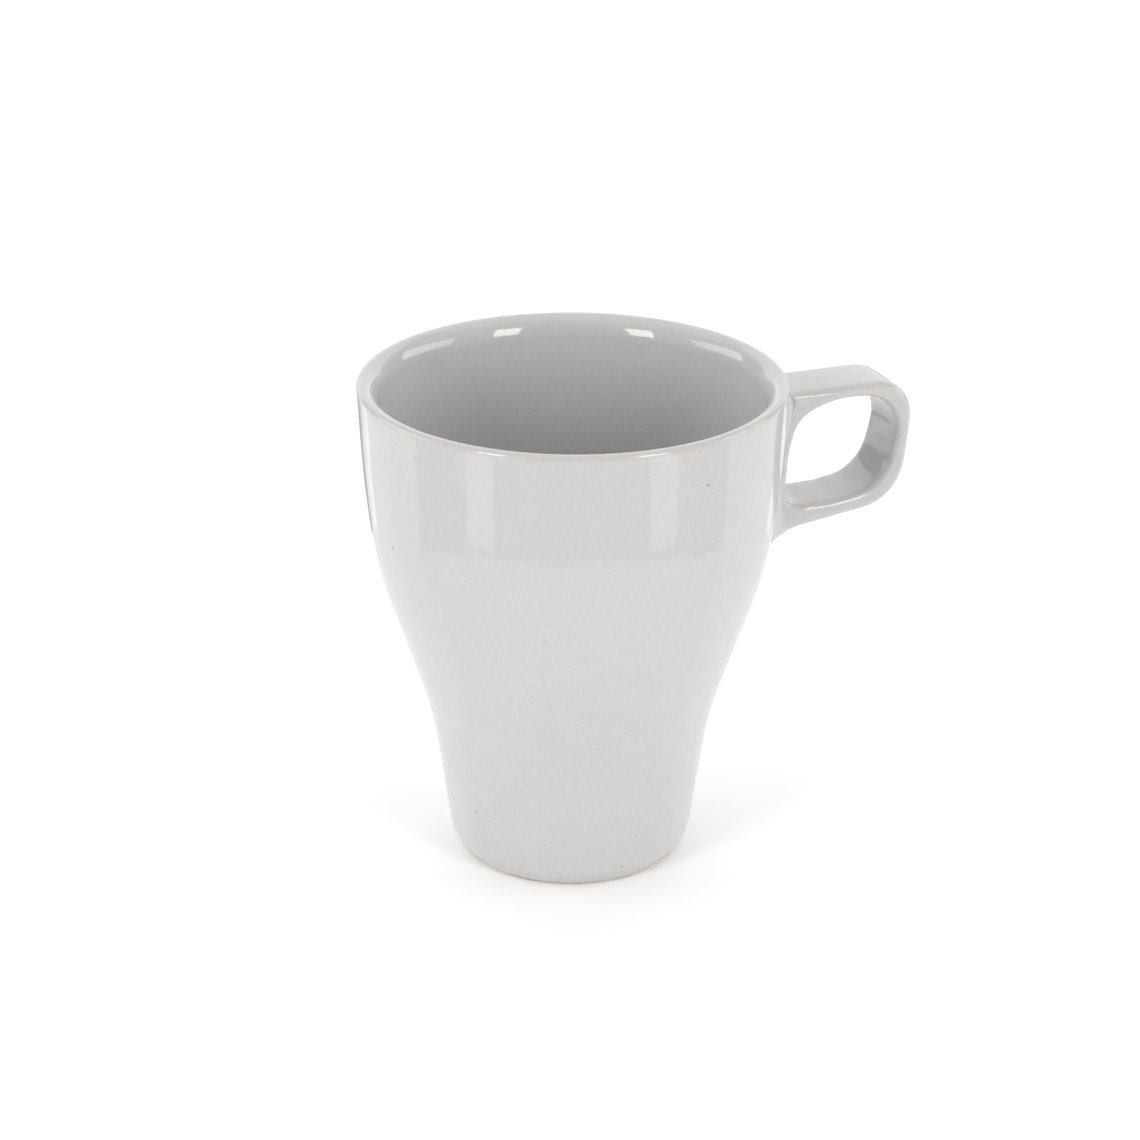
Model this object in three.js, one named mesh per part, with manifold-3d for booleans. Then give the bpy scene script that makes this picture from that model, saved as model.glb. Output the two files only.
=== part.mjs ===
// A glazed stoneware mug: a flared, waisted cup turned thin at the lip, with a cast ring handle luted high
// on its side. Clay, joint and glaze coats are separate pieces. Millimetres, +Z up.
// The origin is on the table plane, half way between the far side of the rim and the far side of the handle.
import * as THREE from "three";
import { mergeVertices } from "three/addons/utils/BufferGeometryUtils.js";
import Module from "manifold-3d";

const mugHeight = 100;
const rimRadius = 42.25;
const handleReach = 71.4; // from the cup's axis to the outside of the handle
const glaze = 0.35; // thickness of every fired glaze coat
const wall = 3.35; // clay wall at the lip, under the glaze
const footRadius = 22.2;
const footInnerRadius = 18.6;
const glazeLine = 1.3; // the glaze stops here, above the bare foot
const recessHeight = 2.4; // how far the underside is hollowed above the table
const floorHeight = 7.2; // glazed bottom of the inside
const handleWidth = 13.4;
const strapEdge = 0.85; // rounding of the handle's long edges
const lutingThickness = 0.6; // fired slip between cup and handle
const clearance = 0.3;
const segments = 48;

const axisX = (rimRadius - handleReach) / 2;

const wasm = await Module();
wasm.setup();

const at = (x, y) => new THREE.Vector2(x, y);

// Outside of the glazed cup, from the glaze line to just under the lip.
const outside = new THREE.SplineCurve([
  at(22.9, glazeLine),
  at(24.2, 3.2),
  at(25.05, 6.5),
  at(25.5, 10),
  at(26.3, 16),
  at(27.5, 24),
  at(29.1, 32),
  at(31.5, 40),
  at(34.85, 50),
  at(38.0, 60),
  at(40.2, 72),
  at(41.4, 84),
  at(42.05, 94),
  at(rimRadius, mugHeight - 1),
]).getPoints(14);

// Across the lip: a crisp outer edge, a short flat, then a soft roll to the inside.
const lip = [
  at(rimRadius - 0.28, mugHeight - 0.3),
  at(rimRadius - 0.95, mugHeight),
  at(rimRadius - 1.9, mugHeight - 0.05),
  at(rimRadius - 2.9, mugHeight - 0.55),
  at(rimRadius - 3.65, mugHeight - 1.5),
];

// Inside of the glazed cup, from under the lip to the middle of the floor.
const inside = new THREE.SplineCurve([
  at(38.2, 97.2),
  at(37.9, 92),
  at(37.3, 82),
  at(36.2, 72),
  at(34.0, 60.5),
  at(30.9, 50.5),
  at(27.6, 40.5),
  at(25.0, 31.5),
  at(23.1, 22),
  at(21.6, 14.5),
  at(18.6, 9.4),
  at(13.5, 7.6),
  at(7, floorHeight),
  at(0, floorHeight),
]).getPoints(13);

// Underside of the glazed recess, from the foot ring to the middle.
const recess = [
  at(footInnerRadius - 0.2, 1.1),
  at(footInnerRadius - 0.9, 2.0),
  at(footInnerRadius - 2.2, recessHeight),
  at(0, recessHeight + 0.4),
];

// The same line moved to its left by a distance.
function offset(points, distance) {
  return points.map((point, i) => {
    const before = points[Math.max(i - 1, 0)];
    const after = points[Math.min(i + 1, points.length - 1)];
    const along = after.clone().sub(before).normalize();
    const moved = at(point.x - along.y * distance, point.y + along.x * distance);
    return point.x === 0 ? at(0, moved.y) : moved;
  });
}

function asSolid(geometry) {
  geometry.deleteAttribute("normal");
  geometry.deleteAttribute("uv");
  const merged = mergeVertices(geometry, 1e-4);
  return new wasm.Manifold(new wasm.Mesh({
    numProp: 3,
    vertProperties: merged.attributes.position.array,
    triVerts: new Uint32Array(merged.index.array),
  }));
}

// A profile of (radius, height) turned round the cup's axis. It runs anticlockwise, and closes itself.
function turned(profile) {
  const onAxis = profile[0].x === 0 && profile.at(-1).x === 0;
  const line = onAxis ? profile : [...profile, profile[0]];
  return asSolid(new THREE.LatheGeometry(line, segments).rotateX(Math.PI / 2));
}

// Points round a polygon of [x, z, radius] corners, each corner rounded.
function rounded(corners) {
  const points = [];
  corners.forEach(([x, z, radius], i) => {
    const corner = at(x, z);
    const [px, pz] = corners.at(i - 1);
    const [nx, nz] = corners[(i + 1) % corners.length];
    const back = at(px, pz).sub(corner).normalize();
    const ahead = at(nx, nz).sub(corner).normalize();
    const half = Math.acos(back.dot(ahead)) / 2;
    if (radius === 0) {
      points.push(corner);
      return;
    }
    const middle = back.clone().add(ahead).normalize();
    const centre = corner.clone().addScaledVector(middle, radius / Math.sin(half));
    const start = corner.clone().addScaledVector(back, radius / Math.tan(half)).sub(centre);
    const end = corner.clone().addScaledVector(ahead, radius / Math.tan(half)).sub(centre);
    const turn = Math.atan2(start.cross(end), start.dot(end));
    const steps = Math.max(2, Math.ceil(Math.abs(turn) * Math.sqrt(radius) * 1.1));
    for (let k = 0; k <= steps; k += 1) {
      points.push(start.clone().rotateAround(at(0, 0), (turn * k) / steps).add(centre));
    }
  });
  return points;
}

// Side view of the glazed handle: a ring whose inner limb lies against the cup.
const ringOutline = rounded([
  [34, 93.65, 0],
  [34, 53.5, 0],
  [42.4, 64.05, 6],
  [69.37, 67.85, 10.5],
  [72.45, 93.75, 7.8],
]);
const fingerHole = rounded([
  [44.3, 88.6, 9],
  [57.8, 91.3, 14],
  [69.1, 91.0, 6.5],
  [66.55, 69.8, 9.5],
  [43.9, 69.25, 3],
]);

// The ring grown outwards by a distance from its clay surface, with rounded edges.
function ring(growth, withHole = true) {
  const shape = new THREE.Shape(ringOutline);
  if (withHole) {
    shape.holes.push(new THREE.Path(fingerHole));
  }
  const depth = handleWidth - 2 * strapEdge - 2 * glaze;
  const edge = strapEdge + growth;
  const geometry = new THREE.ExtrudeGeometry(shape, {
    depth,
    bevelThickness: edge,
    bevelSize: edge,
    bevelOffset: -strapEdge - glaze,
    bevelSegments: 3,
  });
  return asSolid(geometry.translate(0, 0, -depth / 2).rotateX(Math.PI / 2));
}

const finish = {
  clay: { color: 0xb08a68, roughness: 0.9, metalness: 0 },
  slip: { color: 0xa98463, roughness: 0.9, metalness: 0 },
  glaze: { color: 0xe4e2df, roughness: 0.12, metalness: 0 },
};

const mug = new THREE.Group();
const cupAxis = new THREE.Group();
cupAxis.position.x = axisX;
mug.add(cupAxis);

function piece(name, solid, look) {
  const mesh = solid.getMesh();
  const geometry = new THREE.BufferGeometry();
  geometry.setAttribute("position", new THREE.BufferAttribute(mesh.vertProperties, 3));
  geometry.setIndex(new THREE.BufferAttribute(mesh.triVerts, 1));
  geometry.computeVertexNormals();
  const made = new THREE.Mesh(geometry, new THREE.MeshStandardMaterial(look));
  made.name = name;
  cupAxis.add(made);
}

// Cup: thrown or pressed clay, wall and floor in one, with a bare foot ring that it stands on.
const outerSkin = [...outside, ...lip.slice(0, 2)];
const innerSkin = [...lip.slice(1), ...inside];
const wholeSkin = [...outside, ...lip, ...inside];
const wholeClay = offset(wholeSkin, glaze);
const outerClay = wholeClay.slice(0, outerSkin.length);
const innerClay = wholeClay.slice(outerSkin.length - 1);
const recessClay = offset(recess, -glaze);
const footRing = [
  at(footInnerRadius, 0.5),
  at(footInnerRadius + 0.5, 0),
  at(footRadius - 0.6, 0),
  at(footRadius, 0.5),
];
const cupProfile = [...recessClay.toReversed(), ...footRing, ...outerClay, ...innerClay.slice(1)];
piece("cup", turned(cupProfile), finish.clay);

// The solid space inside a surface that stands off the cup's clay by a distance.
function standOff(distance) {
  const skin = offset(outerClay, -distance);
  return turned([at(0, skin[0].y), ...skin, at(0, skin.at(-1).y)]);
}

// Luting slip: the thin fired bed that the handle's inner limb is stuck on with.
const luting = ring(glaze, false)
  .intersect(standOff(lutingThickness - 0.02))
  .subtract(standOff(0.02));
piece("luting_slip", luting, finish.slip);

// Handle: a cast clay ring, its inner limb hollowed to sit against the cup.
const handleSeat = standOff(lutingThickness);
const handleClay = ring(0).subtract(handleSeat);
piece("handle", handleClay, finish.clay);
piece("handle_glaze", ring(glaze).subtract(ring(0)).subtract(handleSeat), finish.glaze);

// Outside glaze: from the lip down to the glaze line, stopping round the handle's root.
const outerCoat = turned([...outerSkin, ...outerClay.toReversed()]);
piece("outside_glaze", outerCoat.subtract(ring(glaze + clearance, false)), finish.glaze);

// Inside glaze: over the lip and down to the floor.
piece("inside_glaze", turned([...innerSkin, ...innerClay.toReversed()]), finish.glaze);

// Base glaze: the coat in the recess under the floor.
piece("base_glaze", turned([...recess.toReversed(), ...recessClay]), finish.glaze);

export default mug;
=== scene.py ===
import math

import bpy
import numpy as np
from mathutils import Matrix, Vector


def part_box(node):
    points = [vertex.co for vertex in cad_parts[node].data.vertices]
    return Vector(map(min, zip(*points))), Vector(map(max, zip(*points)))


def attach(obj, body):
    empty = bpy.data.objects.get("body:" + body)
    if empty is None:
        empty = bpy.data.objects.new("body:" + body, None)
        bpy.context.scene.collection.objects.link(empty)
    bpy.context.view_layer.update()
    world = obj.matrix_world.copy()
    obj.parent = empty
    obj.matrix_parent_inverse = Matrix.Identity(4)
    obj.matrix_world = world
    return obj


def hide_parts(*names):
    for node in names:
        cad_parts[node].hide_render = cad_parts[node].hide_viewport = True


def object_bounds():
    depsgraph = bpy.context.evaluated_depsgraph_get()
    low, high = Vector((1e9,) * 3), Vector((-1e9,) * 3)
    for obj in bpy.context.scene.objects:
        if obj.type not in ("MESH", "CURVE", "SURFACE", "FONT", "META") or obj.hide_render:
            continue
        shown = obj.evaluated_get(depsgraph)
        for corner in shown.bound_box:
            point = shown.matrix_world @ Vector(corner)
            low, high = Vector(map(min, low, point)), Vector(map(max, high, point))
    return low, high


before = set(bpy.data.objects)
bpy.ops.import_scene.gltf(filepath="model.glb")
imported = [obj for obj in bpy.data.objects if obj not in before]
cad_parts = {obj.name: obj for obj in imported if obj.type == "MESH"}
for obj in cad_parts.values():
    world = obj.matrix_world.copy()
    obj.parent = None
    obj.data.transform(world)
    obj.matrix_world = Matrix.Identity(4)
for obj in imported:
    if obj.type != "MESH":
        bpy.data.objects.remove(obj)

cad_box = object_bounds()
MM = 0.001

# The mug stands on its foot with the cup's axis upright, a little to the left of the middle, and its
# handle reaches out along +X.
cup_low, cup_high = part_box("cup")
cup_axis = (cup_low[0] + cup_high[0]) / 2

# Camera: a long lens rather more than half a metre away, looking down a little into the mouth, with the
# handle to the right and turned slightly away.
camera_data = bpy.data.cameras.new("table_camera")
camera_data.lens = 96.9
camera_data.sensor_width = 36
camera_data.clip_start = 0.01
camera = bpy.data.objects.new("table_camera", camera_data)
camera.location = (cup_axis - 0.2026, -0.5279, 0.3014)
camera.rotation_euler = [math.radians(turn) for turn in (66.84, -0.31, -20.83)]
bpy.context.scene.collection.objects.link(camera)
bpy.context.scene.camera = camera
bpy.context.scene.view_settings.view_transform = "Standard"


# White table top: one broad sheet of a light table, matt and lit faintly from below. It runs on for
# three metres all round, so the camera sees no edge of it.
def mesh_object(name, points, faces):
    """A smooth mesh of points in metres and faces of point numbers, linked to the scene."""
    mesh = bpy.data.meshes.new(name)
    mesh.from_pydata([tuple(map(float, p)) for p in points], [], faces)
    mesh.polygons.foreach_set("use_smooth", [True] * len(mesh.polygons))
    mesh.update()
    made = bpy.data.objects.new(name, mesh)
    bpy.context.scene.collection.objects.link(made)
    return made


def shader(material, kind, inputs=None, **settings):
    """A shader node with its settings, and its inputs by name or number, each a value or an output."""
    made = material.node_tree.nodes.new("ShaderNode" + kind)
    for name, value in settings.items():
        setattr(made, name, value)
    for place, value in (inputs or {}).items():
        if isinstance(value, bpy.types.NodeSocket):
            material.node_tree.links.new(value, made.inputs[place])
        else:
            made.inputs[place].default_value = value
    return made


def new_material(name):
    """An empty node material with its output node."""
    material = bpy.data.materials.new(name)
    material.use_nodes = True
    material.node_tree.nodes.clear()
    return material, shader(material, "OutputMaterial")


def show(material, output, surface):
    """Makes a shader's output the look of the material."""
    material.node_tree.links.new(surface, output.inputs["Surface"])


table_reach = 3.0
table = mesh_object(
    "table_top",
    [(x * table_reach, y * table_reach, 0) for x, y in ((-1, -1), (1, -1), (1, 1), (-1, 1))],
    [(0, 1, 2, 3)],
)
table_white, table_output = new_material("white_table")
table_surface = shader(
    table_white,
    "BsdfPrincipled",
    {
        "Base Color": (0.9, 0.9, 0.9, 1),
        "Roughness": 0.8,
        "Specular IOR Level": 0.1,
        "Emission Color": (1, 1, 1, 1),
        "Emission Strength": 0.16,
    },
)
show(table_white, table_output, table_surface.outputs["BSDF"])
table.data.materials.append(table_white)

# Studio light: soft boxes in a pale room. A cool broad one hangs overhead, a tall warm one stands on each
# side of the camera, a wide one at each side of the mug, and the widest of all behind it.
room = bpy.data.worlds.new("pale_room")
room.use_nodes = True
room.node_tree.nodes["Background"].inputs["Color"].default_value = (1.0, 1.0, 1.0, 1)
room.node_tree.nodes["Background"].inputs["Strength"].default_value = 0.28
bpy.context.scene.world = room
to_camera = math.atan2(camera.location.y, camera.location.x - cup_axis)


def beside_camera(turn, distance, height=0.0):
    """A place at a distance from the cup's axis, turned by so many degrees from the camera's side."""
    angle = to_camera + math.radians(turn)
    return cup_axis + distance * math.cos(angle), distance * math.sin(angle), height


def soft_box(name, place, aim, width, height, glow, colour=(1, 1, 1)):
    """A soft box of a size in metres, at a place and facing the aim, with a glow per unit of area."""
    data = bpy.data.lights.new(name, "AREA")
    data.shape = "RECTANGLE"
    data.size = width
    data.size_y = height
    data.energy = glow * math.pi * width * height
    data.color = colour
    made = bpy.data.objects.new(name, data)
    made.location = place
    away = [a - b for a, b in zip(place, aim)]
    flat = math.hypot(away[0], away[1])
    made.rotation_euler = (math.atan2(flat, away[2]), 0, math.atan2(away[0], -away[1]))
    made.visible_camera = False
    bpy.context.scene.collection.objects.link(made)


mug_middle = (cup_axis, 0, 0.06)
soft_box("overhead_box", (cup_axis, 0.2, 1.5), mug_middle, 2.0, 2.0, 0.75, (0.97, 0.99, 1.0))
for name, turn in (("left_box", -42), ("right_box", 41)):
    soft_box(name, beside_camera(turn, 0.9, 0.4), mug_middle, 0.26, 0.44, 8.6, (1.0, 0.98, 0.95))
for name, turn in (("left_side_box", -98), ("right_side_box", 98)):
    soft_box(name, beside_camera(turn, 1.3, 0.45), mug_middle, 1.0, 0.5, 3.0, (1.0, 0.99, 0.98))
soft_box("back_box", beside_camera(180, 1.5, 0.75), mug_middle, 2.6, 1.4, 1.1)


def table_fan(name, turn, spread, near, far, height, glow):
    """A fan of paper that lies on the table round the cup and shows only as a reflection in the glaze."""
    steps = max(2, round(spread / 5))
    angles = [turn + spread * (i / steps - 0.5) for i in range(steps + 1)]
    points = [beside_camera(angle, distance, height) for angle in angles for distance in (near, far)]
    fan = mesh_object(name, points, [(2 * i, 2 * i + 1, 2 * i + 3, 2 * i + 2) for i in range(steps)])
    paper, paper_output = new_material(name + "_paper")
    paper_glow = shader(paper, "Emission", {"Color": (1, 1, 1, 1), "Strength": glow})
    show(paper, paper_output, paper_glow.outputs["Emission"])
    fan.data.materials.append(paper)
    fan.visible_camera = fan.visible_diffuse = fan.visible_shadow = False


# One wide grey fan lies in front, and narrow pale and dark ones lie over it and past its ends.
paper_height = 0.001
table_fan("front_flag", 0, 170, 0.155, 0.6, paper_height, 0.45)
for name, turn, spread, glow in (
    ("left_streak", -46, 15, 1.4),
    ("right_streak", 46, 15, 1.4),
    ("left_streak_edge", -36, 2, 0.05),
    ("right_streak_edge", 36, 2, 0.05),
    ("dark_edge_line", -153, 12, 0.35),
    ("left_edge_line", -136, 6, 1.5),
    ("right_edge_line", 136, 6, 1.5),
):
    table_fan(name, turn, spread, 0.165, 0.5, 1.5 * paper_height, glow)

# Cup: fine buff stoneware, turned to shape in one with its floor and foot ring. Glaze hides all of the
# clay but the foot ring, which is wiped bare so that it doesn't stick in the kiln.
def curve_through(knots, values):
    """Natural cubic spline through values at rising knots, as a function of the knot."""
    knots, values = np.array(knots, float), np.array(values, float)
    gap, rise = np.diff(knots), np.diff(values)
    count = len(knots)
    system, right = np.eye(count), np.zeros(count)
    for i in range(1, count - 1):
        system[i, i - 1 : i + 2] = gap[i - 1], 2 * (gap[i - 1] + gap[i]), gap[i]
        right[i] = 3 * (rise[i] / gap[i] - rise[i - 1] / gap[i - 1])
    bend = np.linalg.solve(system, right)

    def value(at):
        i = int(np.clip(np.searchsorted(knots, at) - 1, 0, count - 2))
        t = at - knots[i]
        slope = rise[i] / gap[i] - gap[i] * (2 * bend[i] + bend[i + 1]) / 3
        return values[i] + t * (slope + t * (bend[i] + t * (bend[i + 1] - bend[i]) / (3 * gap[i])))

    return value


def line_through(points, count):
    """Evenly stepped points on a smooth line through the given ones."""
    points = np.array(points, float)
    knots = np.r_[0, np.cumsum(np.linalg.norm(np.diff(points, axis=0), axis=1))]
    axes = [curve_through(knots, column) for column in points.T]
    return [[axis(at) for axis in axes] for at in np.linspace(0, knots[-1], count)]


def arc(centre, radius, start, end, steps):
    """Points on an arc between two angles in degrees."""
    angles = np.radians(np.linspace(start, end, steps + 1))
    return [[centre[0] + radius * math.cos(a), centre[1] + radius * math.sin(a)] for a in angles]


def moved_aside(line, distance):
    """A line of (radius, height) points moved to its left by a distance."""
    line = np.array(line, float)
    along = np.gradient(line, axis=0)
    along /= np.linalg.norm(along, axis=1)[:, None]
    moved = line + distance * np.c_[-along[:, 1], along[:, 0]]
    moved[line[:, 0] == 0, 0] = 0
    return moved.tolist()


def turned(name, profile, columns=180):
    """A closed solid of a (radius, height) profile in mm turned round the cup's axis."""
    points, rings = [], []
    for radius, height in profile:
        steps = 1 if radius < 1e-6 else columns
        rings.append([len(points) + i % steps for i in range(columns)])
        for i in range(steps):
            angle = math.tau * i / columns
            points.append(
                (
                    cup_axis + radius * MM * math.cos(angle),
                    radius * MM * math.sin(angle),
                    height * MM,
                )
            )
    if profile[0][0] > 1e-6:
        rings.append(rings[0])
    faces = []
    for low, high in zip(rings, rings[1:]):
        for i in range(columns):
            j = (i + 1) % columns
            corners = tuple(dict.fromkeys((low[i], low[j], high[j], high[i])))
            if len(corners) > 2:
                faces.append(corners)
    made = mesh_object(name, points, faces)
    made.data.set_sharp_from_angle(angle=math.radians(50))
    return made


# The glazed lip is the highest thing on the mug.
cup_height = round(cad_box[1][2] / MM, 3)
glaze_coat = 0.35
glaze_foot = 0.6
crest_radius = 41.3
lip_round = 0.95
lip_inset, lip_drop = 3.2, 4.6
# The glazed wall's radius at heights up from the glaze's lower edge, in mm.
outside_radius = curve_through(
    (glaze_foot, 1.3, 3.2, 6.2, 10, 16, 24, 32, 40, 50, 60, 72, 84, cup_height - lip_round),
    (22.4, 22.9, 24.15, 24.95, 25.45, 26.28, 27.45, 29.05, 31.52, 34.84, 38.03, 40.22, 41.39, 42.25),
)
# The lip is round outside its crest and slopes in on a quarter of an ellipse inside it.
outer_lip = arc((crest_radius, cup_height - lip_round), lip_round, 0, 90, 6)
inner_lip = [
    [crest_radius + lip_inset * r, cup_height - lip_drop + lip_drop * z]
    for r, z in arc((0, 0), 1, 90, 180, 16)
]
lip_line = outer_lip + inner_lip[1:]
inside_line = line_through(
    [
        (crest_radius - lip_inset, cup_height - lip_drop),
        (37.95, 91.5),
        (37.3, 82),
        (36.2, 72),
        (34.0, 60.5),
        (30.9, 50.5),
        (27.6, 40.5),
        (25.0, 31.5),
        (23.1, 22),
        (21.6, 14.5),
        (18.6, 9.4),
        (13.5, 7.6),
        (7, 7.2),
        (0, 7.2),
    ],
    60,
)
outside_heights = list(np.linspace(glaze_foot, 10, 11)) + list(np.linspace(12, 98.2, 50)) + [98.65]
outside_line = [[outside_radius(z), z] for z in outside_heights]
whole_line = outside_line + lip_line + inside_line[1:]
recess_line = line_through([(0, 2.8), (9, 2.6), (15.5, 2.4), (17.6, 2.0), (18.35, 1.1)], 24)
clay_line = moved_aside(whole_line, glaze_coat)
# The bare foot ring stands on a flat between two small rounds.
foot_line = (
    [[18.6, 0.9]]
    + arc((19.1, 0.5), 0.5, 180, 270, 4)
    + arc((21.55, 0.45), 0.45, 270, 360, 4)
)
cup_profile = moved_aside(recess_line, glaze_coat) + foot_line + clay_line
cup_clay = turned("cup_clay", cup_profile)

bare_clay, clay_output = new_material("bare_stoneware")
clay_place = shader(bare_clay, "TexCoord").outputs["Object"]
clay_grain = shader(
    bare_clay, "TexNoise", {"Vector": clay_place, "Scale": 1400, "Detail": 6, "Roughness": 0.7}
)
clay_patches = shader(bare_clay, "TexNoise", {"Vector": clay_place, "Scale": 160, "Detail": 3})
clay_colour = shader(bare_clay, "ValToRGB", {"Fac": clay_patches.outputs["Fac"]})
clay_colour.color_ramp.elements[0].position = 0.3
clay_colour.color_ramp.elements[0].color = (0.4, 0.32, 0.25, 1)
clay_colour.color_ramp.elements[1].position = 0.72
clay_colour.color_ramp.elements[1].color = (0.56, 0.48, 0.4, 1)
clay_bump = shader(
    bare_clay, "Bump", {"Height": clay_grain.outputs["Fac"], "Strength": 0.5, "Distance": 0.00008}
)
clay_surface = shader(
    bare_clay,
    "BsdfPrincipled",
    {
        "Base Color": clay_colour.outputs["Color"],
        "Roughness": 0.85,
        "Normal": clay_bump.outputs["Normal"],
    },
)
show(bare_clay, clay_output, clay_surface.outputs["BSDF"])
cup_clay.data.materials.append(bare_clay)
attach(cup_clay, "root")
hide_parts("cup")

# Handle: a flat cast ring of the same clay, about 13 mm wide and 3 to 4 mm thick, that thickens where it
# meets the cup. Its inner limb is shaped to the wall, and all of it lies under the glaze.

# Side view of the glazed handle in mm from the cup's axis: the outer edge and the finger gap's edge,
# matched point for point from the top of the root, over the top, down the front and back under.
ring_outer = (
    [(44.4, 93.72), (48, 93.7), (52, 93.68), (56, 93.7), (60, 93.74)]
    + arc((63.58, 85.95), 7.72, 90, 0, 4)
    + [(71.08, 82.7), (70.78, 79.4)]
    + arc((59.88, 77.12), 10.5, -6.7, -81.9, 4)
    + [(58, 66.25), (54.4, 65.74), (51, 65.26), (48.4, 64.9), (46.4, 64.6)]
)
ring_inner = (
    [(46.3, 86.9), (48.75, 89.0), (52.2, 90.35), (55.8, 91.05), (58.2, 91.1)]
    + arc((60.5, 83.4), 7.6, 90, 0, 4)
    + [(67.9, 81.6), (67.7, 80.3)]
    + arc((57.1, 80.1), 10.3, -8, -88.6, 4)
    + [(55.6, 69.53), (52.6, 69.45), (49.6, 69.38), (47.1, 69.42), (44.85, 70.15)]
)
# The inner limb's two sides, each from the lower root to the upper one.
limb_inner = [(44.15, 71.4), (43.98, 73.5), (44.05, 76), (44.25, 79), (44.6, 81.7), (45.3, 84.5)]
limb_outer = [(43.8, 66.9), (42.75, 70.6), (42.6, 74.4), (42.75, 79), (43.2, 83.6), (44.2, 88.6)]


def resampled(points, first, last, count):
    """Count + 1 points along a smooth line through the given ones, from one of them to another."""
    axes = [curve_through(range(len(points)), column) for column in np.array(points, float).T]
    return np.array([[axis(at) for axis in axes] for at in np.linspace(first, last, count + 1)])


ring_steps = 80
root_rows = 24
ring_legs = len(ring_inner) - 1
limb_legs = len(limb_inner) + 1
# The gap's edge closes on itself, so it starts and ends with a few points run over from its other end.
run_over = 3
ring_end = run_over + ring_legs
gap_edge = limb_inner[-run_over:] + ring_inner + limb_inner + ring_inner[: run_over + 1]
gap_ring = resampled(gap_edge, run_over, ring_end, ring_steps)
gap_limb = resampled(gap_edge, ring_end, ring_end + limb_legs, root_rows)
edge_ring = resampled(ring_outer, 0, ring_legs, ring_steps)
edge_limb = resampled([ring_outer[-1]] + limb_outer + [ring_outer[0]], 0, limb_legs, root_rows)
inner_edge = np.r_[gap_ring, gap_limb[1:-1]]
outer_edge = np.r_[edge_ring, edge_limb[1:-1]]
stations = len(inner_edge)
# Half the strap's width, the depth and breadth of its rounded long edges, and half the flat between.
half_width = 6.7
edge_round = 1.25
edge_roll = 1.45
flat = half_width - edge_roll


def into_clay(line, side, closed):
    """Unit normals of a line that point from its surface into the clay, which lies to one side of it."""
    if closed:
        along = np.roll(line, -1, axis=0) - np.roll(line, 1, axis=0)
    else:
        along = np.gradient(line, axis=0)
    normals = side * np.c_[-along[:, 1], along[:, 0]]
    return normals / np.linalg.norm(normals, axis=1, keepdims=True)


inner_depth = into_clay(inner_edge, 1, True)
outer_depth = into_clay(edge_ring, -1, False)
under_glaze = glaze_coat + 0.07
clay_gap_edge = inner_edge + inner_depth * under_glaze
clay_outer_edge = edge_ring + outer_depth * under_glaze
clay_half_width = half_width - under_glaze
slip_thickness = 0.25


def wall_spot(y, height, away):
    """A spot at a distance outside the cup's bare wall, at a place across the handle and a height."""
    radius = outside_radius(height) - glaze_coat + away
    return math.sqrt(radius**2 - y**2), y, height


def section_loop(inner_spot, outer_spot, half, squareness=3.5, count=28):
    """A closed, soft-cornered section between two sides, each a spot for a distance across."""
    loop = []
    for i in range(count):
        angle = math.tau * (i + 0.5) / count
        y = half * math.copysign(abs(math.cos(angle)) ** (2 / squareness), math.cos(angle))
        share = (1 + math.copysign(abs(math.sin(angle)) ** (2 / squareness), math.sin(angle))) / 2
        loop.append(np.array(inner_spot(y)) * (1 - share) + np.array(outer_spot(y)) * share)
    return loop


def skinned(name, loops, closed):
    """A closed solid skinned over loops of points in mm from the cup's axis."""
    size = len(loops[0])
    points = [(cup_axis + x * MM, y * MM, z * MM) for loop in loops for x, y, z in loop]
    count = len(loops)
    faces = []
    for row in range(count if closed else count - 1):
        here, after = row * size, (row + 1) % count * size
        for i in range(size):
            j = (i + 1) % size
            faces.append((here + i, here + j, after + j, after + i))
    if not closed:
        faces += [tuple(range(size - 1, -1, -1)), tuple(range((count - 1) * size, count * size))]
    return mesh_object(name, points, faces)


def clay_section(k):
    """The bare handle's section at a station of the ring, or of the limb that is stuck to the wall."""
    gap = clay_gap_edge[k]

    def back(y):
        if k <= ring_steps:
            return clay_outer_edge[k][0], y, clay_outer_edge[k][1]
        return wall_spot(y, gap[1], slip_thickness)

    return section_loop(lambda y: (gap[0], y, gap[1]), back, clay_half_width)


handle_clay = skinned("handle_clay", [clay_section(k) for k in range(stations)], True)
handle_clay.data.materials.append(bare_clay)
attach(handle_clay, "root")
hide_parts("handle")

# Luting slip: a thin seam of runny clay, of the same body, between the handle's inner limb and the
# wall. It is brushed on when both are leather-hard and it holds the handle through the firing.
slip_heights = np.linspace(73, 83, 12)
slip_half_width = 5.8
slip_seam = skinned(
    "slip_seam",
    [
        section_loop(
            lambda y: wall_spot(y, height, slip_thickness),
            lambda y: wall_spot(y, height, 0),
            slip_half_width,
        )
        for height in slip_heights
    ],
    False,
)
slip_seam.data.materials.append(bare_clay)
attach(slip_seam, "root")
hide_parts("luting_slip")

# Outside glaze: the cup was dipped with its handle on, so one glassy coat runs down the wall, round
# the root of the handle in soft fillets, and over the whole ring.
around = 180
# The wall's grid is open where the handle grows out of it: this many columns to each side of the
# handle's middle, between these heights.
root_half = 11
root_low, root_high = 53.8, 96.0
below = list(np.linspace(glaze_foot, 8, 11)[:-1]) + list(np.linspace(8, root_low, 27)[:-1])
beside = list(np.linspace(root_low, root_high, root_rows + 1))
above = [97.0, 97.9, 98.55]
# The outside coat ends this many points past the crest of the lip, and the inside coat starts there.
past_crest = 3
wall_rows = [[outside_radius(z), z] for z in below + beside + above]
wall_rows += lip_line[: len(outer_lip) + past_crest]
first_root_row = len(below)
# How far the broad faces are crowned, and how much the limb's sides lean to the gap as the fillet
# leaves them.
face_crown = 0.1
limb_lean = 0.6


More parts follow.
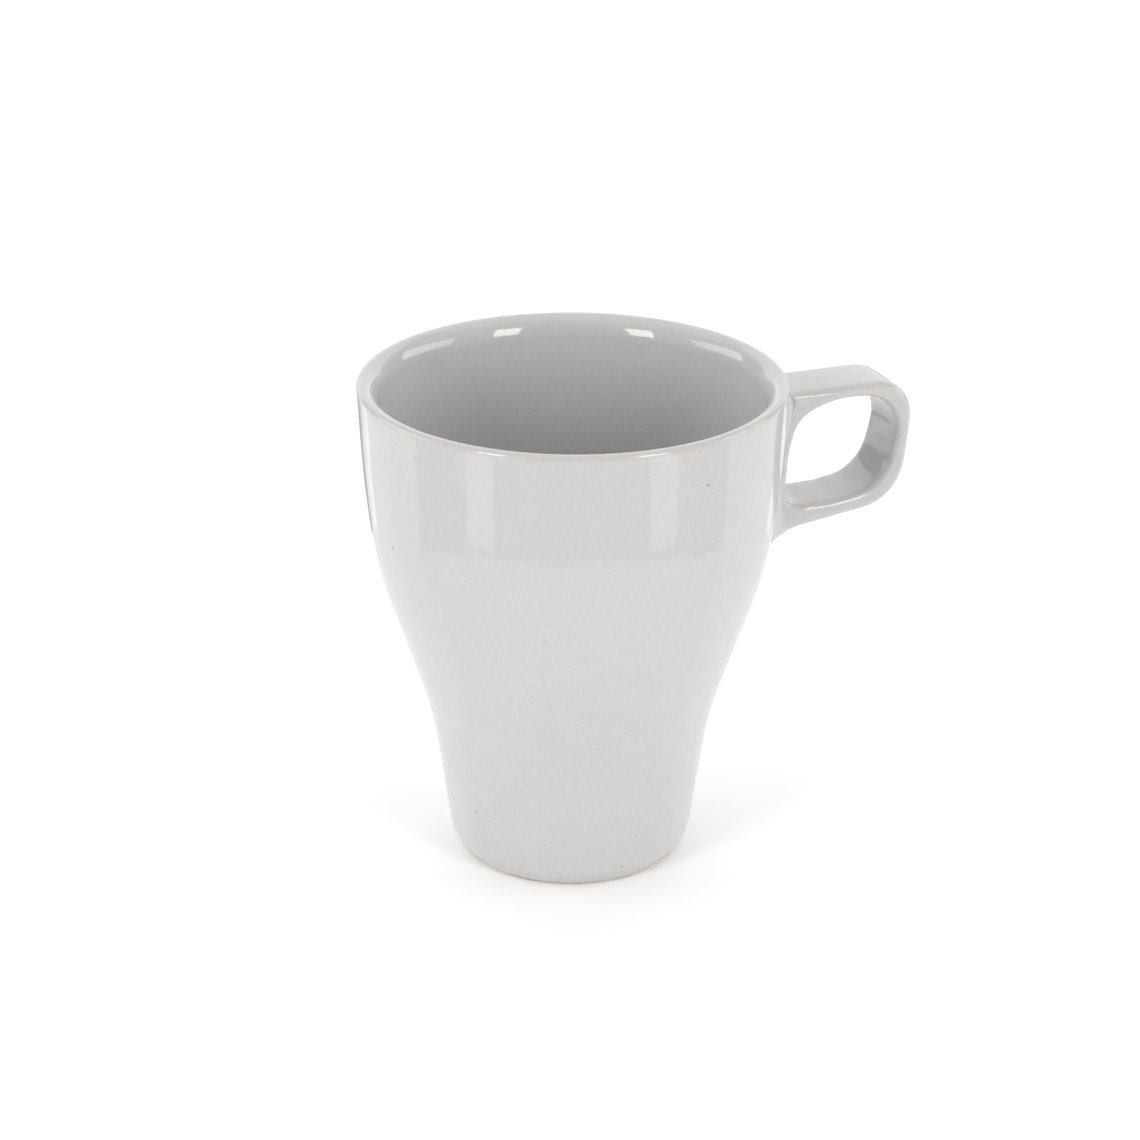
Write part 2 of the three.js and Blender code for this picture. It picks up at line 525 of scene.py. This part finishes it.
# A spot on the handle is its place in the side view, its distance from the middle, the way it faces in
# the side view and sideways, and how thin the glaze has run on it.
def face_spot(edge, depth, y):
    """A spot on a broad face of the strap, which is very slightly crowned."""
    crown = face_crown * (1 - (y / flat) ** 2)
    return edge - depth * crown, y, -depth, 0, 0.0


def edge_spot(edge, depth, angle):
    """A spot on a rounded long edge, 0 degrees facing as the broad face does and 90 facing sideways."""
    a = math.radians(angle)
    place = edge + depth * edge_round * (1 - math.cos(a))
    return place, flat + edge_roll * math.sin(a), -depth * math.cos(a), math.sin(a), math.sin(2 * a)


def half_section(k):
    """Spots of half the handle's section at a station, from the middle of the gap side, round one long
    edge and over the side, to the middle of the outer side, or to the wall where the limb joins it."""
    inner, depth = inner_edge[k], inner_depth[k]
    spots = [face_spot(inner, depth, flat * share) for share in (0, 1 / 3, 2 / 3)]
    spots += [edge_spot(inner, depth, angle) for angle in (0, 22.5, 45, 67.5)]
    side_start = inner + depth * edge_round
    on_ring = k <= ring_steps
    side_end = edge_ring[k] + outer_depth[k] * edge_round if on_ring else outer_edge[k]
    for share in (0, 0.5, 1) if on_ring else (0, 0.25, 0.5, 0.75, 1):
        place = side_start + (side_end - side_start) * share
        lean = 0 if on_ring else limb_lean
        spots.append((place, half_width, -depth * lean, 1, 0.0))
    if on_ring:
        outer, depth = edge_ring[k], outer_depth[k]
        spots += [edge_spot(outer, depth, angle) for angle in (67.5, 45, 30, 15, 0)]
        spots += [face_spot(outer, depth, flat * step / 8) for step in (7, 6, 5, 4, 3, 2, 1, 0)]
    return spots


arris_drop = 0.7


def lip_thin(height):
    """How thin the glaze has run at a height on the outer arris of the lip, from 0 to 1."""
    arris_height = cup_height - arris_drop
    return float(np.clip(1 - abs(height - arris_height) / arris_drop, 0, 1))


across = 2 * root_half
# The fillet meets the handle at this spot of each half section: where the limb's side ends, and on the
# rounded edge of the strap at the two ends of the root.
corner = 11
round_section = 2 * (corner + root_half)
points, facings, thin = [], [], []
low_draw, low_draw_reach = 0.5, 8
high_draw, high_draw_reach = 0.3, 3


def drawn_in(column, height):
    """The angle of a column of the wall, drawn in toward the handle at the two ends of its root."""
    steps = (column + around // 2) % around - around // 2
    near = min(1, max(0, (3 * root_half - abs(steps)) / (2 * root_half)))
    ends = low_draw * math.exp(-(((height - root_low) / low_draw_reach) ** 2))
    ends += high_draw * math.exp(-(((height - root_high) / high_draw_reach) ** 2))
    return math.tau * steps / around * (1 - near * ends)


for radius, height in wall_rows:
    flare = (outside_radius(height + 0.01) - outside_radius(height - 0.01)) / 0.02
    for column in range(around):
        angle = drawn_in(column, height)
        points.append((radius * math.cos(angle), radius * math.sin(angle), height))
        facings.append((math.cos(angle), math.sin(angle), -flare))
        thin.append(lip_thin(height))
wall_faces = [
    (row, column)
    for row in range(len(wall_rows) - 1)
    for column in range(around)
    if (column + root_half) % around >= across
    or not first_root_row <= row < first_root_row + root_rows
]


def wall_point(row, column):
    """The number of the wall's point at a row and a column."""
    return row * around + column % around


faces = [
    (
        wall_point(row, column),
        wall_point(row, column + 1),
        wall_point(row + 1, column + 1),
        wall_point(row + 1, column),
    )
    for row, column in wall_faces
]

handle_arris_share = 0.5
handle_points = []
for k in range(stations):
    numbers = {}
    for spot, (place, y, facing, sideways, worn) in enumerate(half_section(k)):
        for number, side in {spot: 1, (round_section - spot) % round_section: -1}.items():
            numbers[number] = len(points)
            points.append((place[0], side * y, place[1]))
            facings.append((facing[0], side * sideways, facing[1]))
            thin.append(handle_arris_share * worn)
    handle_points.append(numbers)
for k in range(stations):
    here, after = handle_points[k], handle_points[(k + 1) % stations]
    for spot in range(round_section):
        beyond = (spot + 1) % round_section
        if spot in here and beyond in here and spot in after and beyond in after:
            faces.append((here[spot], here[beyond], after[beyond], after[spot]))

# The two edges that the root's fillet joins, each run once round: along the bottom, up, over and down.
wall_edge, handle_edge = [], []
opening = [(0, c) for c in range(across)] + [(r, across) for r in range(root_rows)]
opening += [(root_rows, c) for c in range(across, 0, -1)] + [(r, 0) for r in range(root_rows, 0, -1)]


def handle_spot(r, c):
    """The spot of the handle's section that a place on the rim of the wall's opening is joined to."""
    if r in (0, root_rows):
        return round_section - corner - c
    return corner if c else round_section - corner


for r, c in opening:
    wall_edge.append(wall_point(first_root_row + r, c - root_half))
    handle_edge.append(handle_points[(ring_steps + r) % stations][handle_spot(r, c)])

fillet_rows = 7
rows = [wall_edge]
starts, ends = np.array(points)[wall_edge], np.array(points)[handle_edge]
chords = ends - starts


def along_surface(chord, facing):
    """The part of a chord that lies along a surface, at the chord's full length."""
    facing = np.array(facing, float) / np.linalg.norm(facing)
    flat_part = chord - facing * (chord @ facing)
    return flat_part * np.linalg.norm(chord) / np.linalg.norm(flat_part)


# How strongly the fillet follows the two surfaces that it joins before it bends, and the rows over
# which it changes from running on along the strap to running over the limb's side.
fullness = 1.18
end_rows = 3
leaves = [along_surface(chord, facings[i]) * fullness for chord, i in zip(chords, wall_edge)]
meets = []
for (r, c), chord, i in zip(opening, chords, handle_edge):
    low = 2 * r < root_rows
    from_end = r if low else root_rows - r
    spot = handle_spot(r, c)
    here, onward = (ring_steps, ring_steps - 1) if low else (0, 1)
    run = np.array(points[handle_points[onward][spot]]) - np.array(points[handle_points[here][spot]])
    run *= np.linalg.norm(chord) / np.linalg.norm(run)
    share = max(0, 1 - from_end / end_rows)
    meets.append((run * share + along_surface(chord, facings[i]) * (1 - share)) * fullness)
for step in range(1, fillet_rows):
    t = step / fillet_rows
    rows.append([])
    for start, end, leave, meet in zip(starts, ends, leaves, meets):
        rows[-1].append(len(points))
        points.append(
            start * (2 * t**3 - 3 * t**2 + 1)
            + leave * (t**3 - 2 * t**2 + t)
            + end * (3 * t**2 - 2 * t**3)
            + meet * (t**3 - t**2)
        )
        thin.append(0.0)
rows.append(handle_edge)
for lower, upper in zip(rows, rows[1:]):
    for i in range(len(lower)):
        j = (i + 1) % len(lower)
        faces.append((lower[i], lower[j], upper[j], upper[i]))

in_place = [(cup_axis + x * MM, y * MM, z * MM) for x, y, z in points]
outside_glaze = mesh_object("outside_glaze_coat", in_place, faces)
thinness = outside_glaze.data.attributes.new("glaze_thin", "FLOAT", "POINT")
thinness.data.foreach_set("value", thin)
coat = outside_glaze.modifiers.new("coat_thickness", "SOLIDIFY")
coat.thickness = glaze_coat * MM
coat.offset = -1
# An edge with one face is the coat's rim, at the foot or just inside the lip, so it stays crisp.
edge_uses = {}
for face in faces:
    for pair in map(frozenset, zip(face, face[1:] + face[:1])):
        edge_uses[pair] = edge_uses.get(pair, 0) + 1
for edge in outside_glaze.data.edges:
    edge.use_edge_sharp = edge_uses[frozenset(edge.vertices)] == 1

white_glaze, glaze_output = new_material("white_glaze")
glaze_place = shader(white_glaze, "TexCoord").outputs["Object"]


def glaze_noise(scale, detail, low, high):
    """Noise over the glaze with features of 1 / scale metres, spread from low to high."""
    noise = shader(white_glaze, "TexNoise", {"Vector": glaze_place, "Scale": scale, "Detail": detail})
    spread = shader(
        white_glaze,
        "MapRange",
        {
            "Value": noise.outputs["Fac"],
            "From Min": 0.3,
            "From Max": 0.7,
            "To Min": low,
            "To Max": high,
        },
    )
    return spread.outputs["Result"]


def glaze_math(operation, *values):
    """One sum or comparison of numbers over the glaze."""
    return shader(white_glaze, "Math", dict(enumerate(values)), operation=operation).outputs["Value"]


def glaze_mix(amount, first, second):
    """A colour part of the way from the first to the second."""
    colours = {0: amount, 6: first, 7: second}
    return shader(white_glaze, "Mix", colours, data_type="RGBA").outputs[2]


def specks(scale, kept, size):
    """1 on round specks in a kept share of the cells, which are 1 / scale metres across, and 0 off them."""
    cells = shader(white_glaze, "TexVoronoi", {"Vector": glaze_place, "Scale": scale})
    picks = shader(white_glaze, "SeparateColor", {"Color": cells.outputs["Color"]})
    radius = glaze_math("MULTIPLY", picks.outputs["Green"], size)
    near = glaze_math("LESS_THAN", cells.outputs["Distance"], radius)
    return glaze_math("MULTIPLY", near, glaze_math("GREATER_THAN", picks.outputs["Red"], 1 - kept))


thick_white = (0.588, 0.58, 0.578, 1)
cloud_white = (0.545, 0.535, 0.532, 1)
grain_grey = (0.5, 0.49, 0.486, 1)
clay_through = (0.44, 0.35, 0.29, 1)
iron_brown = (0.26, 0.21, 0.17, 1)
clouded = glaze_mix(glaze_noise(170, 3, 0, 0.3), thick_white, cloud_white)
grained = glaze_mix(glaze_noise(1500, 2, 0, 0.45), clouded, grain_grey)
# The clay shows through where the glaze has run thin, and iron in the clay leaves a few brown specks.
run_thin = shader(white_glaze, "Attribute", attribute_name="glaze_thin").outputs["Fac"]
clay_amount = glaze_math("MULTIPLY", run_thin, glaze_noise(60, 3, 0.08, 0.34))
edged = glaze_mix(clay_amount, grained, clay_through)
speck_amount = glaze_math("MAXIMUM", specks(210, 0.02, 0.07), specks(700, 0.012, 0.25))
specked = glaze_mix(glaze_math("MULTIPLY", speck_amount, 0.6), edged, iron_brown)
ripple_height = 0.00008
ripple = shader(
    white_glaze,
    "Bump",
    {"Height": glaze_noise(260, 1, 0, 1), "Strength": 0.15, "Distance": ripple_height},
)
glaze_surface = shader(
    white_glaze,
    "BsdfPrincipled",
    {
        "Base Color": specked,
        "Roughness": glaze_noise(90, 2, 0.03, 0.06),
        "IOR": 1.52,
        "Normal": ripple.outputs["Normal"],
    },
)
show(white_glaze, glaze_output, glaze_surface.outputs["BSDF"])
outside_glaze.data.materials.append(white_glaze)
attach(outside_glaze, "root")
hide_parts("outside_glaze", "handle_glaze")

# Inside glaze: the same glossy white, poured in, swirled round and poured out again. It covers the
# inside from just within the crest of the lip down over the floor.
inside_line_from_lip = lip_line[len(outer_lip) + past_crest - 1 :] + inside_line[1:]
inside_coat = inside_line_from_lip + moved_aside(inside_line_from_lip, glaze_coat)[::-1]
inside_glaze = turned("inside_glaze_coat", inside_coat)
inside_glaze.data.materials.append(white_glaze)
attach(inside_glaze, "root")
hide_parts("inside_glaze")

# Base glaze: a shallow coat of the same glaze in the hollow under the floor. It stops short of the foot
# ring, which is sponged clean before the firing.
base_glaze = turned("base_glaze_coat", recess_line + moved_aside(recess_line, glaze_coat)[::-1])
base_glaze.data.materials.append(white_glaze)
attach(base_glaze, "root")
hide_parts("base_glaze")
